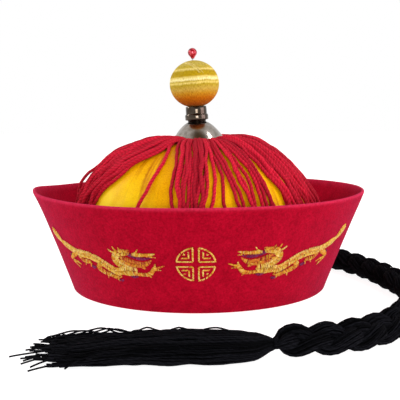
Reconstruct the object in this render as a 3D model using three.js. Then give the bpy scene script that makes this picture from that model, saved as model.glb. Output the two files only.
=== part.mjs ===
import * as THREE from "three";

// A mandarin hat in millimetres, +Z up, standing on the bottom edge of its brim.
// Its embroidered front faces -Y, and its braid lies on the floor from the back round to the front.

// Steps around the brim, crown and fringe: a whole number for each crown panel
const AROUND = 48;
// Gap between pieces that touch
const GAP = 0.35;

// Brim: one band of felt that flares upwards, with a rounded top edge
const BRIM_HEIGHT = 72.6;
const BRIM_FOOT_RADIUS = 95;
const BRIM_RIM_RADIUS = 123.7;
const FELT = 2.5;
const RIM_WAVE = 0.7;

// Crown: a padded satin dome of six panels, with a hole for the pin
const CROWN_WALL = 4;
const CROWN_STEPS = 16;
const PANELS = 6;
const SEAM_DEPTH = 1.4;
const SEAM_HALF_ANGLE = THREE.MathUtils.degToRad(5);
const CROWN_HOLE = 1.5;
const CROWN_OUTLINE = [
  { r: 92, z: 0.6 },
  { r: 92.5, z: 18 },
  { r: 91.6, z: 36 },
  { r: 89, z: 53 },
  { r: 84.3, z: 68 },
  { r: 78, z: 80 },
  { r: 70, z: 89.6 },
  { r: 60, z: 98 },
  { r: 49, z: 103.8 },
  { r: 37, z: 107.3 },
  { r: 27, z: 107.9 },
  { r: 19, z: 106.4 },
  { r: 10, z: 105.7 },
  { r: CROWN_HOLE, z: 105.6 },
];

// Fringe: the outer form of the yarns, from under the cap down into the brim
const FRINGE_FROM = 3; // hem and top, in steps of the crown, so that the two lie face to face
const FRINGE_TO = 15;
const FRINGE_THICKNESS = [
  { along: 0, thick: 1.4 },
  { along: 0.5, thick: 1.5 },
  { along: 0.7, thick: 2.6 },
  { along: 0.8, thick: 4.8 },
  { along: 0.84, thick: 4.8 },
  { along: 0.92, thick: 1.8 },
  { along: 1, thick: 1.5 },
];
// Clumps of yarn, by the bearing of their middle from the front towards +X
const CLUMPS = [
  { bearing: -76, halfWidth: 22, lift: 3.4 },
  { bearing: -6, halfWidth: 9, lift: 1.4 },
  { bearing: 10, halfWidth: 4, lift: 0.9 },
  { bearing: 22, halfWidth: 4, lift: 1.1 },
  { bearing: 33, halfWidth: 5, lift: 1.4 },
  { bearing: 50, halfWidth: 9, lift: 1.6 },
  { bearing: 82, halfWidth: 20, lift: 1.5 },
  { bearing: 124, halfWidth: 16, lift: 1.5 },
  { bearing: 163, halfWidth: 18, lift: 1.6 },
  { bearing: 205, halfWidth: 19, lift: 1.5 },
  { bearing: 245, halfWidth: 16, lift: 1.6 },
];

// Finial: everything on the pin, on one axis that leans towards -X from the top of the crown
const FINIAL_FOOT = 108;
const FINIAL_LEAN = THREE.MathUtils.degToRad(3.5);
const FINIAL_SIDES = 24;
const PIN_RADIUS = 0.7;
const PIN_BORE = PIN_RADIUS + GAP;
const PIN_HEAD_RADIUS = 5;
const PIN_HEAD = { bottom: -8.1, top: -7.1 };
const CAP = { rim: 19.6, rimZ: 2.6, neck: 8.1, neckZ: 14.3, lip: 7.4, top: 15.7, wall: 0.9 };
const CAP_SWELL = new THREE.Vector2(14.5, 11.3);
const COLLAR = { foot: CAP.top + GAP, flange: 8.85, flangeTop: 21.7, tube: 7.4, top: 27.4, wall: 0.9 };
const BALL = { radius: 18.5, halfHeight: 17.7, middle: 44.3 };
const BEAD = { radius: 3.45, middle: 67.8, foot: 63.3, bore: 66 };

// Queue: root on the back of the brim, braid, tie and tassel, all lying on the floor
const BRAID_WIDTH = 22;
const BRAID_THICKNESS = 16;
const FLOOR_GAP = 0.3;
const BRAID_MIDDLE = BRAID_THICKNESS / 2 + FLOOR_GAP;
const ROOT_END = 112;
const BRAID_STEPS = 40;
const BRAID_ROUTE = [
  [0, 112.4],
  [0, 122],
  [0, 132],
  [5.9, 154],
  [22, 170],
  [44, 176],
  [66, 170],
  [80, 156.5],
  [88, 138],
  [97, 109],
  [105.5, 78],
  [116, 47],
  [128, 19.5],
  [137, -9],
  [142, -37],
  [144, -65],
  [141.5, -92],
  [131, -121],
  [115, -148],
  [101, -162.5],
  [86.5, -173],
  [73, -179],
  [60, -182.3],
  [50, -183.2],
];
const TIE_ROUTE = [
  [49.5, -183.3, 8.3],
  [44, -183.8, 7.4],
  [38, -184.3, 6.8],
];
const TIE_FORM = [
  { along: 0, across: 10, up: 7.4 },
  { along: 0.25, across: 8.4, up: 6.4 },
  { along: 0.55, across: 4.2, up: 4 },
  { along: 0.75, across: 3.5, up: 3.4 },
  { along: 1, across: 3.5, up: 3.4 },
];
const TASSEL_ROUTE = [
  [37.5, -184.4, 6.8],
  [30, -185.4, 7.2],
  [20, -187.2, 7.6],
  [0, -189.4, 7.6],
  [-31, -189, 7.4],
  [-55, -190, 6.6],
  [-76, -190, 5],
  [-97, -189, 2.6],
];
const TASSEL_FORM = [
  { along: 0, across: 3.5, up: 3.4 },
  { along: 0.05, across: 9, up: 6 },
  { along: 0.1, across: 12.3, up: 6.9 },
  { along: 0.35, across: 13.3, up: 7.2 },
  { along: 0.6, across: 14.5, up: 6.5 },
  { along: 0.8, across: 18, up: 5 },
  { along: 0.93, across: 20.5, up: 3 },
  { along: 1, across: 17, up: 1.8 },
];

const FELT_RED = new THREE.MeshStandardMaterial({ color: 0xb90c28, roughness: 0.95 });
const SATIN_YELLOW = new THREE.MeshStandardMaterial({ color: 0xf2b90c, roughness: 0.4 });
const YARN_RED = new THREE.MeshStandardMaterial({ color: 0xc81434, roughness: 0.9 });
const DARK_METAL = new THREE.MeshStandardMaterial({ color: 0x5a5348, roughness: 0.25, metalness: 1 });
const SILK_YELLOW = new THREE.MeshStandardMaterial({ color: 0xe0a818, roughness: 0.35 });
const BEAD_RED = new THREE.MeshStandardMaterial({ color: 0xc01828, roughness: 0.15 });
const PIN_STEEL = new THREE.MeshStandardMaterial({ color: 0x8c8c8c, roughness: 0.3, metalness: 1 });
const YARN_BLACK = new THREE.MeshStandardMaterial({ color: 0x0a0a0d, roughness: 0.85 });

const hat = new THREE.Group();

function addPiece(parent, name, geometry, material) {
  const mesh = new THREE.Mesh(geometry, material);
  mesh.name = name;
  parent.add(mesh);
}

// Turns a closed outline of radius and height round the Z axis
function revolve(outline, steps) {
  const geometry = new THREE.LatheGeometry(outline, steps);
  geometry.rotateX(Math.PI / 2);
  return geometry;
}

// Moves each vertex by a function of the vertex and its place in the revolved outline, from 0 to 1
function reshape(geometry, move) {
  const position = geometry.getAttribute("position");
  const uv = geometry.getAttribute("uv");
  const vertex = new THREE.Vector3();
  for (let i = 0; i < position.count; i += 1) {
    vertex.fromBufferAttribute(position, i);
    move(vertex, uv.getY(i));
    position.setXYZ(i, vertex.x, vertex.y, vertex.z);
  }
  return geometry;
}

// The value of a column of a table at a place between its rows, with smooth steps
function between(table, column, along) {
  const last = table.findIndex((row) => row.along >= along);
  if (last < 1) {
    return table[Math.max(last, 0)][column];
  }
  const low = table[last - 1];
  const high = table[last];
  const share = THREE.MathUtils.smoothstep(along, low.along, high.along);
  return THREE.MathUtils.lerp(low[column], high[column], share);
}

// Points beside an outline that runs up the outside of a wall, from one share of it to another
function beside(outline, from, to, steps, distanceAt) {
  const points = [];
  for (let i = 0; i <= steps; i += 1) {
    const share = i / steps;
    const place = outline.getPointAt(THREE.MathUtils.lerp(from, to, share));
    const tangent = outline.getTangentAt(THREE.MathUtils.lerp(from, to, share));
    const distance = distanceAt(share);
    points.push(new THREE.Vector2(place.x + tangent.y * distance, place.y - tangent.x * distance));
  }
  return points;
}

// A tube along a route, with an oval section that changes by a table
function sweep(route, form, sides, steps) {
  const path = new THREE.CatmullRomCurve3(route.map((point) => new THREE.Vector3(...point)));
  const geometry = new THREE.CylinderGeometry(1, 1, 1, sides, steps);
  const up = new THREE.Vector3(0, 0, 1);
  const side = new THREE.Vector3();
  return reshape(geometry, (vertex) => {
    const along = vertex.y + 0.5;
    const across = vertex.x * between(form, "across", along);
    const rise = vertex.z * between(form, "up", along);
    side.crossVectors(path.getTangentAt(along), up).normalize();
    path.getPointAt(along, vertex);
    vertex.addScaledVector(side, across).addScaledVector(up, rise);
  });
}

// Outer radius of the brim at a height
function brimRadius(z) {
  return THREE.MathUtils.mapLinear(z, 0, BRIM_HEIGHT, BRIM_FOOT_RADIUS, BRIM_RIM_RADIUS);
}

function brim() {
  const slope = new THREE.Vector2(BRIM_RIM_RADIUS - BRIM_FOOT_RADIUS, BRIM_HEIGHT).normalize();
  const wall = FELT / slope.y;
  const edge = FELT / 2;
  const edgeZ = BRIM_HEIGHT - edge;
  const edgeR = brimRadius(edgeZ) - wall / 2;
  const tilt = Math.atan2(slope.x, slope.y);
  const outline = [new THREE.Vector2(BRIM_FOOT_RADIUS, 0)];
  const edgeSteps = 4;
  for (let i = 0; i <= edgeSteps; i += 1) {
    const angle = -tilt + (Math.PI * i) / edgeSteps;
    outline.push(new THREE.Vector2(edgeR + edge * Math.cos(angle), edgeZ + edge * Math.sin(angle)));
  }
  outline.push(new THREE.Vector2(BRIM_FOOT_RADIUS - wall, 0));
  outline.push(outline[0].clone());
  return reshape(revolve(outline, AROUND), (vertex) => {
    const bearing = Math.atan2(vertex.x, -vertex.y);
    vertex.z -= (RIM_WAVE * Math.cos(2 * bearing) * vertex.z) / BRIM_HEIGHT;
  });
}

const crownOutline = new THREE.SplineCurve(CROWN_OUTLINE.map(({ r, z }) => new THREE.Vector2(r, z)));

function crown() {
  const outside = beside(crownOutline, 0, 1, CROWN_STEPS, () => 0);
  const inside = beside(crownOutline, 0, 1, CROWN_STEPS, () => -CROWN_WALL).reverse();
  inside[0].x = CROWN_HOLE;
  const outline = [...outside, ...inside, outside[0].clone()];
  const panel = (2 * Math.PI) / PANELS;
  const low = CROWN_OUTLINE[1].z;
  const high = CROWN_OUTLINE[0].r / 2;
  return reshape(revolve(outline, AROUND), (vertex) => {
    const bearing = Math.atan2(vertex.x, -vertex.y) + panel / 2;
    const offSeam = Math.abs(bearing - panel * Math.round(bearing / panel));
    const radius = Math.hypot(vertex.x, vertex.y);
    const fade = THREE.MathUtils.smoothstep(vertex.z, 0, low) * THREE.MathUtils.smoothstep(radius, 0, high);
    const dent = SEAM_DEPTH * fade * (1 - THREE.MathUtils.smoothstep(offSeam, 0, 2 * SEAM_HALF_ANGLE));
    const scale = radius > 0 ? (radius - dent) / radius : 1;
    vertex.x *= scale;
    vertex.y *= scale;
  });
}

function yarnFringe() {
  const over = (share) => GAP + between(FRINGE_THICKNESS, "thick", share);
  const hem = FRINGE_FROM / CROWN_STEPS;
  const top = FRINGE_TO / CROWN_STEPS;
  const steps = FRINGE_TO - FRINGE_FROM;
  const outside = beside(crownOutline, hem, top, steps, over);
  const inside = beside(crownOutline, hem, top, steps, () => GAP).reverse();
  const outline = [...outside, ...inside, outside[0].clone()];
  const lastOutside = (outside.length - 0.5) / (outline.length - 1);
  const openEnd = CAP.rim + 4;
  const turn = 360;
  return reshape(revolve(outline, AROUND), (vertex, place) => {
    if (place > lastOutside || place === 0) {
      return;
    }
    const bearing = THREE.MathUtils.radToDeg(Math.atan2(vertex.x, -vertex.y));
    let lift = 0;
    for (const clump of CLUMPS) {
      const apart = THREE.MathUtils.euclideanModulo(bearing - clump.bearing + turn / 2, turn) - turn / 2;
      const off = Math.abs(apart) / clump.halfWidth;
      lift = Math.max(lift, clump.lift * (1 - THREE.MathUtils.smoothstep(off, 0.6, 1.4)));
    }
    const radius = Math.hypot(vertex.x, vertex.y);
    lift *= THREE.MathUtils.smoothstep(radius, openEnd, 2 * openEnd);
    const steepness = THREE.MathUtils.clamp(radius / CROWN_OUTLINE[0].r, 0, 1) ** 2;
    vertex.x += (vertex.x / radius) * lift * steepness;
    vertex.y += (vertex.y / radius) * lift * steepness;
    vertex.z += lift * (1 - steepness);
  });
}

function cap() {
  const flank = new THREE.QuadraticBezierCurve(
    new THREE.Vector2(CAP.rim, CAP.rimZ),
    CAP_SWELL,
    new THREE.Vector2(CAP.neck, CAP.neckZ),
  );
  const flankSteps = 7;
  const outside = beside(flank, 0, 1, flankSteps, () => 0);
  const inside = beside(flank, 0, 0.93, flankSteps, () => -CAP.wall).reverse();
  const outline = [
    ...outside,
    new THREE.Vector2(CAP.lip, CAP.neckZ + 0.3),
    new THREE.Vector2(CAP.lip, CAP.top),
    new THREE.Vector2(PIN_BORE, CAP.top),
    new THREE.Vector2(PIN_BORE, CAP.top - CAP.wall),
    new THREE.Vector2(CAP.lip - CAP.wall, CAP.top - CAP.wall),
    ...inside,
    outside[0].clone(),
  ];
  return revolve(outline, FINIAL_SIDES);
}

function collar() {
  const floor = COLLAR.foot + COLLAR.wall;
  const outline = [
    [COLLAR.tube, COLLAR.foot],
    [COLLAR.flange - 0.5, COLLAR.foot + 0.3],
    [COLLAR.flange, COLLAR.foot + 1.1],
    [COLLAR.flange, COLLAR.flangeTop - 1.1],
    [COLLAR.flange - 0.5, COLLAR.flangeTop - 0.2],
    [COLLAR.tube + 0.1, COLLAR.flangeTop],
    [COLLAR.tube, COLLAR.top],
    [COLLAR.tube - COLLAR.wall, COLLAR.top],
    [COLLAR.tube - COLLAR.wall, floor],
    [PIN_BORE, floor],
    [PIN_BORE, COLLAR.foot],
    [COLLAR.tube, COLLAR.foot],
  ];
  return revolve(outline.map(([r, z]) => new THREE.Vector2(r, z)), FINIAL_SIDES);
}

function finialBall() {
  const steps = 16;
  const start = Math.asin(PIN_BORE / BALL.radius);
  const outline = [];
  for (let i = 0; i <= steps; i += 1) {
    const angle = THREE.MathUtils.lerp(start, Math.PI - start, i / steps);
    outline.push(
      new THREE.Vector2(BALL.radius * Math.sin(angle), BALL.middle - BALL.halfHeight * Math.cos(angle)),
    );
  }
  outline.push(outline[0].clone());
  return revolve(outline, FINIAL_SIDES);
}

// A round bead that narrows towards the pin, which ends in a blind bore in it
function pinBead() {
  const steps = 9;
  const sides = 16;
  const roundFrom = THREE.MathUtils.degToRad(-38);
  const outline = [
    new THREE.Vector2(0, BEAD.bore),
    new THREE.Vector2(PIN_BORE, BEAD.bore),
    new THREE.Vector2(PIN_BORE, BEAD.foot),
    new THREE.Vector2(PIN_BORE + 0.25, BEAD.foot),
  ];
  for (let i = 0; i <= steps; i += 1) {
    const angle = THREE.MathUtils.lerp(roundFrom, Math.PI / 2, i / steps);
    const radius = i < steps ? BEAD.radius * Math.cos(angle) : 0;
    outline.push(new THREE.Vector2(radius, BEAD.middle + BEAD.radius * Math.sin(angle)));
  }
  return revolve(outline, sides);
}

// The pin, with a flat head inside the crown
function pinShank() {
  const sides = 12;
  const top = BEAD.bore - GAP;
  const outline = [
    [0, PIN_HEAD.bottom],
    [PIN_HEAD_RADIUS, PIN_HEAD.bottom],
    [PIN_HEAD_RADIUS, PIN_HEAD.top],
    [PIN_RADIUS, PIN_HEAD.top],
    [PIN_RADIUS, top],
    [0, top],
  ];
  return revolve(outline.map(([r, z]) => new THREE.Vector2(r, z)), sides);
}

// The bound end of the braid, sewn against the slanting back of the brim
function queueRoot() {
  const sides = 16;
  const halfWidth = { wall: 9.2, end: 8 };
  const halfHeight = { wall: 7.4, end: 6.6 };
  const geometry = new THREE.CylinderGeometry(1, 1, 1, sides, 2);
  return reshape(geometry, (vertex) => {
    const along = vertex.y + 0.5;
    vertex.x *= THREE.MathUtils.lerp(halfWidth.wall, halfWidth.end, along);
    vertex.z *= THREE.MathUtils.lerp(halfHeight.wall, halfHeight.end, along);
    vertex.z += BRAID_MIDDLE;
    const wall = Math.sqrt((brimRadius(vertex.z) + GAP) ** 2 - vertex.x ** 2);
    vertex.y = THREE.MathUtils.lerp(wall, ROOT_END, along);
  });
}

function queueBraid() {
  const section = new THREE.Shape();
  section.absellipse(0, 0, BRAID_THICKNESS / 2, BRAID_WIDTH / 2, 0, 2 * Math.PI);
  const route = BRAID_ROUTE.map(([x, y]) => new THREE.Vector3(x, y, BRAID_MIDDLE));
  return new THREE.ExtrudeGeometry(section, {
    steps: BRAID_STEPS,
    curveSegments: 6,
    extrudePath: new THREE.CatmullRomCurve3(route),
  });
}

addPiece(hat, "brim", brim(), FELT_RED);
addPiece(hat, "crown", crown(), SATIN_YELLOW);
addPiece(hat, "yarn_fringe", yarnFringe(), YARN_RED);

const finial = new THREE.Group();
finial.position.z = FINIAL_FOOT;
finial.rotation.y = -FINIAL_LEAN;
addPiece(finial, "cap", cap(), DARK_METAL);
addPiece(finial, "collar", collar(), DARK_METAL);
addPiece(finial, "finial_ball", finialBall(), SILK_YELLOW);
addPiece(finial, "pin_bead", pinBead(), BEAD_RED);
addPiece(finial, "pin_shank", pinShank(), PIN_STEEL);
hat.add(finial);

addPiece(hat, "queue_root", queueRoot(), YARN_BLACK);
addPiece(hat, "queue_braid", queueBraid(), YARN_BLACK);
addPiece(hat, "queue_tie", sweep(TIE_ROUTE, TIE_FORM, 12, 8), YARN_BLACK);
addPiece(hat, "queue_tassel", sweep(TASSEL_ROUTE, TASSEL_FORM, 16, 22), YARN_BLACK);

export default hat;
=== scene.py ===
import math

import bmesh
import bpy
import numpy as np
from mathutils import Matrix, Vector


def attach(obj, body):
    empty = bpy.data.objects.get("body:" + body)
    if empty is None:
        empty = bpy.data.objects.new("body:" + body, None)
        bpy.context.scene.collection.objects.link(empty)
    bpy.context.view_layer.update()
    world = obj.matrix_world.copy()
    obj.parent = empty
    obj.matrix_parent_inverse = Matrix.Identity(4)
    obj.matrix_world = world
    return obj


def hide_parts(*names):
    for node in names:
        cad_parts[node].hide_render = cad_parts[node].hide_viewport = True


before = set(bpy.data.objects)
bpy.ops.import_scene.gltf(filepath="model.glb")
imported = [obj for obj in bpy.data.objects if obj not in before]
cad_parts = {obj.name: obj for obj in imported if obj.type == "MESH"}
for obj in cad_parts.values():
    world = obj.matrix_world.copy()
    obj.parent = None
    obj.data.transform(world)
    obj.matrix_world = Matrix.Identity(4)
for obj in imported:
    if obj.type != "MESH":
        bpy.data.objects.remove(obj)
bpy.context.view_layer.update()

# A mandarin hat standing on a pale floor. Its embroidered front faces -Y. Lengths are in millimetres, and MM
# turns them into metres. A bearing is an angle in degrees from the front towards +X.
MM = 0.001
TURN = 360.0
WHITE = (1.0, 1.0, 1.0)
BLACK = (0.0, 0.0, 0.0)
rng = np.random.default_rng(11)

# Camera: a pinhole at the photograph's angle, with its place in metres
IMAGE_PIXELS = 400
FOCAL_PIXELS = 740
SENSOR = 36.0
CAMERA_PLACE = (0.0, -0.5672, 0.1257)
CAMERA_PITCH = math.radians(6.238)
CAMERA_YAW = math.radians(0.101)
CAMERA_ROLL = math.radians(-0.32)

# Brim: a felt cone with a soft, folded edge
BRIM_HEIGHT = 72.6
BRIM_FOOT = 95.0
BRIM_RIM = 123.7
BRIM_SLOPE = math.hypot(BRIM_HEIGHT, BRIM_RIM - BRIM_FOOT)
BRIM_MEAN = (BRIM_FOOT + BRIM_RIM) / 2
FELT = 2.5
RIM_WAVE = 0.7

# Crown outline, radius and height, from the bottom edge to the pin
CROWN_OUTLINE = [
    (92.8, 0.7), (92.5, 6), (92.5, 18), (91.6, 36), (89, 53), (84.3, 68), (78, 80), (70, 89.6),
    (60, 98), (49, 103.8), (37, 107.3), (27, 107.9), (19, 106.4), (10, 105.7), (1.5, 105.6),
]
CROWN_WALL = 4.0
PANELS = 6
SEAM_DEPTH = 1.3
SEAM_WIDTH = 9.0

# Finial: its axis leans towards -X, and heights along it start at its foot
FINIAL_FOOT = 108.0
FINIAL_LEAN = math.radians(3.5)
PIN_WIRE = 0.525
PIN_BORE = 1.05
METAL_COLUMNS = 120
BALL_RADIUS = 18.8
BALL_HALF_HEIGHT = 17.7
BALL_MIDDLE = 44.3
BALL_THREADS = 150
# Some threads cross the others between two places on the ball, seen from its middle. Their pale colour is a
# painted highlight along them.
CROSSING_THREADS = 5
CROSSING_FROM = (-0.29, -0.38, 0.88)
CROSSING_TO = (0.16, -0.79, 0.59)
CROSSING_RADIUS = 0.14
CROSSING_SINK = 0.05
BEAD_RADIUS = 3.45
BEAD_MIDDLE = 67.8
BEAD_COLUMNS = 64

# Braid, tie and tassel, along the floor from the back of the brim round to the front
BRAID_MIDDLE = 8.3
BRAID_ROUTE = [
    (0, 112.4), (0, 122), (0, 132), (5.9, 154), (22, 170), (44, 176), (66, 170), (80, 156.5),
    (88, 138), (97, 109), (105.5, 78), (116, 47), (128, 19.5), (137, -9), (142, -37), (144, -65),
    (141.5, -92), (131, -121), (115, -148), (101, -162.5), (86.5, -173), (73, -179), (60, -182.3),
    (50, -183.2),
]
TIE_ROUTE = [(44, -183.8, 7.4), (38, -184.3, 6.8)]
TASSEL_ROUTE = [
    (38.5, -184.3), (30, -186.8), (20, -188.8), (0, -190.6), (-31, -190), (-50, -188.6), (-65, -187),
    (-85, -184.6), (-99, -183),
]
STRANDS = 3
# Half width and half height of a strand, and how far it swings and rises, each at the back and near the tie
STRAND_SIZES = [(5.6, 5.0), (4.4, 3.8), (5.4, 4.9), (3.4, 2.9)]
# How far the braid tips onto its edge and narrows, and where it does, with 0 at its end
BRAID_ROLL = math.radians(33)
ROLL_STRETCH = (-230, -110)
NARROWING = 0.58
NARROW_STRETCH = (-8.5, -1.5)
# Length of one turn of the braid at its root and at its tie, and the x of a lobe in its last stretch
BRAID_PERIODS = (66, 54)
LOBE_AT = 55.5
LOBE_STRETCH = 80
BRAID_STEP = 2.6
STRAND_YARNS = 30
# How much smaller a strand's core is, and the length of one turn of its yarns round it
CORE_INSET = 1.4
YARN_TURN = 170
# Radius of the yarns, and the least height of a black one's middle
BLACK_YARN = 0.52
RED_YARN = 1.25
LEAST_HEIGHT = BLACK_YARN + 0.2


def smoothstep(x, low, high):
    share = np.clip((np.asarray(x, float) - low) / (high - low), 0, 1)
    return share * share * (3 - 2 * share)


def hill(x, middle, width):
    """A smooth rise to 1 at its middle."""
    return np.exp(-(((x - middle) / width) ** 2))


def catmull(points, steps=24):
    """A dense smooth line through points."""
    p = np.asarray(points, float)
    padded = np.vstack([p[:1], p, p[-1:]])
    t = np.linspace(0, 1, steps, endpoint=False)[:, None]
    spans = []
    for a, b, c, d in zip(padded, padded[1:], padded[2:], padded[3:]):
        curve = (2 * a - 5 * b + 4 * c - d) * t**2 + (3 * b - 3 * c + d - a) * t**3
        spans.append(b + 0.5 * ((c - a) * t + curve))
    return np.vstack([*spans, p[-1:]])


def arc_of(line):
    return np.concatenate([[0.0], np.cumsum(np.linalg.norm(np.diff(line, axis=0), axis=1))])


def resample(line, count):
    """The same line as count points at equal distances."""
    arc = arc_of(line)
    at = np.linspace(0, arc[-1], count)
    return np.stack([np.interp(at, arc, line[:, k]) for k in range(line.shape[1])], 1)


def unit(v):
    return v / np.maximum(np.linalg.norm(v, axis=-1, keepdims=True), 1e-12)


def heading(line):
    return unit(np.gradient(line, axis=0))


def around(radius, bearing, height):
    """Places at a radius, a bearing in radians and a height."""
    return np.stack([radius * np.sin(bearing), -radius * np.cos(bearing), height], -1)


def waver(arc, size, length):
    """A slow random sway along a line, about size to each side, over about length."""
    total = np.zeros(len(arc))
    for part in (1.0, 0.6, 0.4):
        total += part * np.sin(2 * np.pi * (arc / (length * part) + rng.random()))
    return total * size / 2


def mesh_from(places, faces, uv, shade=None):
    """faces is an array of four-cornered faces and then single faces of any size. uv has one row for each
    corner of the four-cornered ones."""
    quads, rest = faces[0], faces[1:]
    corners = np.concatenate([quads.ravel(), *rest]).astype(np.int32)
    sizes = np.concatenate([np.full(len(quads), 4), [len(f) for f in rest]]).astype(np.int32)
    mesh = bpy.data.meshes.new("shape")
    mesh.vertices.add(len(places))
    mesh.vertices.foreach_set("co", (places * MM).astype(np.float32).ravel())
    mesh.loops.add(len(corners))
    mesh.loops.foreach_set("vertex_index", corners)
    mesh.polygons.add(len(sizes))
    mesh.polygons.foreach_set("loop_start", np.concatenate([[0], np.cumsum(sizes)[:-1]]).astype(np.int32))
    mesh.polygons.foreach_set("loop_total", sizes)
    mesh.polygons.foreach_set("use_smooth", np.ones(len(sizes), bool))
    mesh.update(calc_edges=True)
    whole = np.zeros((len(corners), 2), np.float32)
    whole[: len(uv)] = uv
    mesh.uv_layers.new(name="surface").data.foreach_set("uv", whole.ravel())
    if shade is not None:
        layer = mesh.attributes.new("shade", "FLOAT", "POINT")
        layer.data.foreach_set("value", shade.astype(np.float32))
    mesh.validate()
    return mesh


def skin(rows, columns, spans):
    """The four-cornered faces between rows of places, and how far round and in which row each corner is."""
    i, j = (grid.ravel() for grid in np.meshgrid(np.arange(spans), np.arange(columns), indexing="ij"))
    k, m = (i + 1) % rows, (j + 1) % columns
    quads = np.stack([i * columns + j, i * columns + m, k * columns + m, k * columns + j], -1)
    return quads, np.stack([j, j + 1, j + 1, j], -1) / columns, np.stack([i, i, i + 1, i + 1], -1)


class Tubes:
    """Collects closed tubes in millimetres and turns them into one mesh."""

    def __init__(self):
        self.places, self.quads, self.ends = [], [], []
        self.uvs, self.shades, self.count = [], [], 0

    def add(self, line, up, radius, sides=6, shade=0.5, twist=4.5, flat=1.0):
        """line is the middle, up a direction or one for each point, radius a length or one for each point,
        and twist the length of one turn of the plies."""
        line = np.asarray(line, float)
        n = len(line)
        along = heading(line)
        side = unit(np.cross(along, np.broadcast_to(np.asarray(up, float), line.shape)))
        rise = np.cross(side, along) * flat
        radius = np.broadcast_to(np.asarray(radius, float), (n,))[:, None, None]
        angle = np.linspace(0, 2 * np.pi, sides, endpoint=False)[None, :, None]
        ring = side[:, None] * np.cos(angle) + rise[:, None] * np.sin(angle)
        self.places.append((line[:, None] + ring * radius).reshape(-1, 3))
        quads, u, row = skin(n, sides, n - 1)
        v = arc_of(line) / twist + rng.random()
        self.quads.append(self.count + quads)
        self.uvs.append(np.stack([u, v[row]], -1).reshape(-1, 2))
        end = self.count + np.arange(sides)
        self.ends += [end[::-1], end + (n - 1) * sides]
        self.shades.append(np.full(n * sides, shade))
        self.count += n * sides

    def mesh(self):
        faces = [np.vstack(self.quads), *self.ends]
        return mesh_from(np.vstack(self.places), faces, np.vstack(self.uvs), np.concatenate(self.shades))


def revolved(outline, columns, move=None, seat=None, closed=True):
    """A mesh of an outline of radius and height turned round Z. An outline that isn't closed is shut at both
    ends. move changes radius and height by bearing and row, and seat changes places."""
    outline = np.asarray(outline, float)
    rows = len(outline)
    bearing = np.radians(np.arange(columns) * TURN / columns)[None, :]
    radius = np.repeat(outline[:, :1], columns, 1)
    height = np.repeat(outline[:, 1:], columns, 1)
    if move is not None:
        radius, height = move(radius, height, np.degrees(bearing), np.arange(rows)[:, None])
    places = around(radius, bearing, height).reshape(-1, 3)
    spans = rows if closed else rows - 1
    quads, u, row = skin(rows, columns, spans)
    ends = [] if closed else [np.arange(columns), (rows - 1) * columns + np.arange(columns)[::-1]]
    if seat is not None:
        places = seat(places)
    mesh = mesh_from(places, [quads, *ends], np.stack([u, row / spans], -1).reshape(-1, 2))
    shape = bmesh.new()
    shape.from_mesh(mesh)
    bmesh.ops.recalc_face_normals(shape, faces=shape.faces)
    shape.to_mesh(mesh)
    shape.free()
    return mesh


def show(name, data):
    """An object in the scene."""
    obj = bpy.data.objects.new(name, data)
    bpy.context.scene.collection.objects.link(obj)
    return obj


def piece(name, shape, look, replaces=()):
    """An object of a mesh or of tubes, seated in the frame."""
    mesh = shape.mesh() if isinstance(shape, Tubes) else shape
    mesh.name = name
    mesh.materials.append(look.material)
    obj = show(name, mesh)
    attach(obj, "root")
    if replaces:
        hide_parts(*replaces)
    return obj


# Materials
MIX_INPUTS = (0, 6, 7)
MIX_RESULT = 2


class Nodes:
    """Short ways to add nodes to a node tree. A value is a number, a vector, a colour or an output."""

    def __init__(self, tree):
        self.tree = tree

    def feed(self, socket, value):
        if isinstance(value, bpy.types.NodeSocket):
            self.tree.links.new(value, socket)
        elif socket.type == "RGBA":
            socket.default_value = (*value, 1)
        else:
            socket.default_value = value

    def node(self, kind, **inputs):
        """A node of a kind. inputs are values by the names of its sockets, with _ for each space."""
        node = self.tree.nodes.new(f"ShaderNode{kind}")
        for name, value in inputs.items():
            self.feed(node.inputs[name.replace("_", " ")], value)
        return node

    def ramp(self, value, *stops):
        node = self.node("ValToRGB", Fac=value)
        elements = node.color_ramp.elements
        while len(elements) < len(stops):
            elements.new(0.5)
        for element, (at, colour) in zip(elements, stops):
            element.position = at
            element.color = (*colour, 1)
        return node.outputs["Color"]


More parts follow.
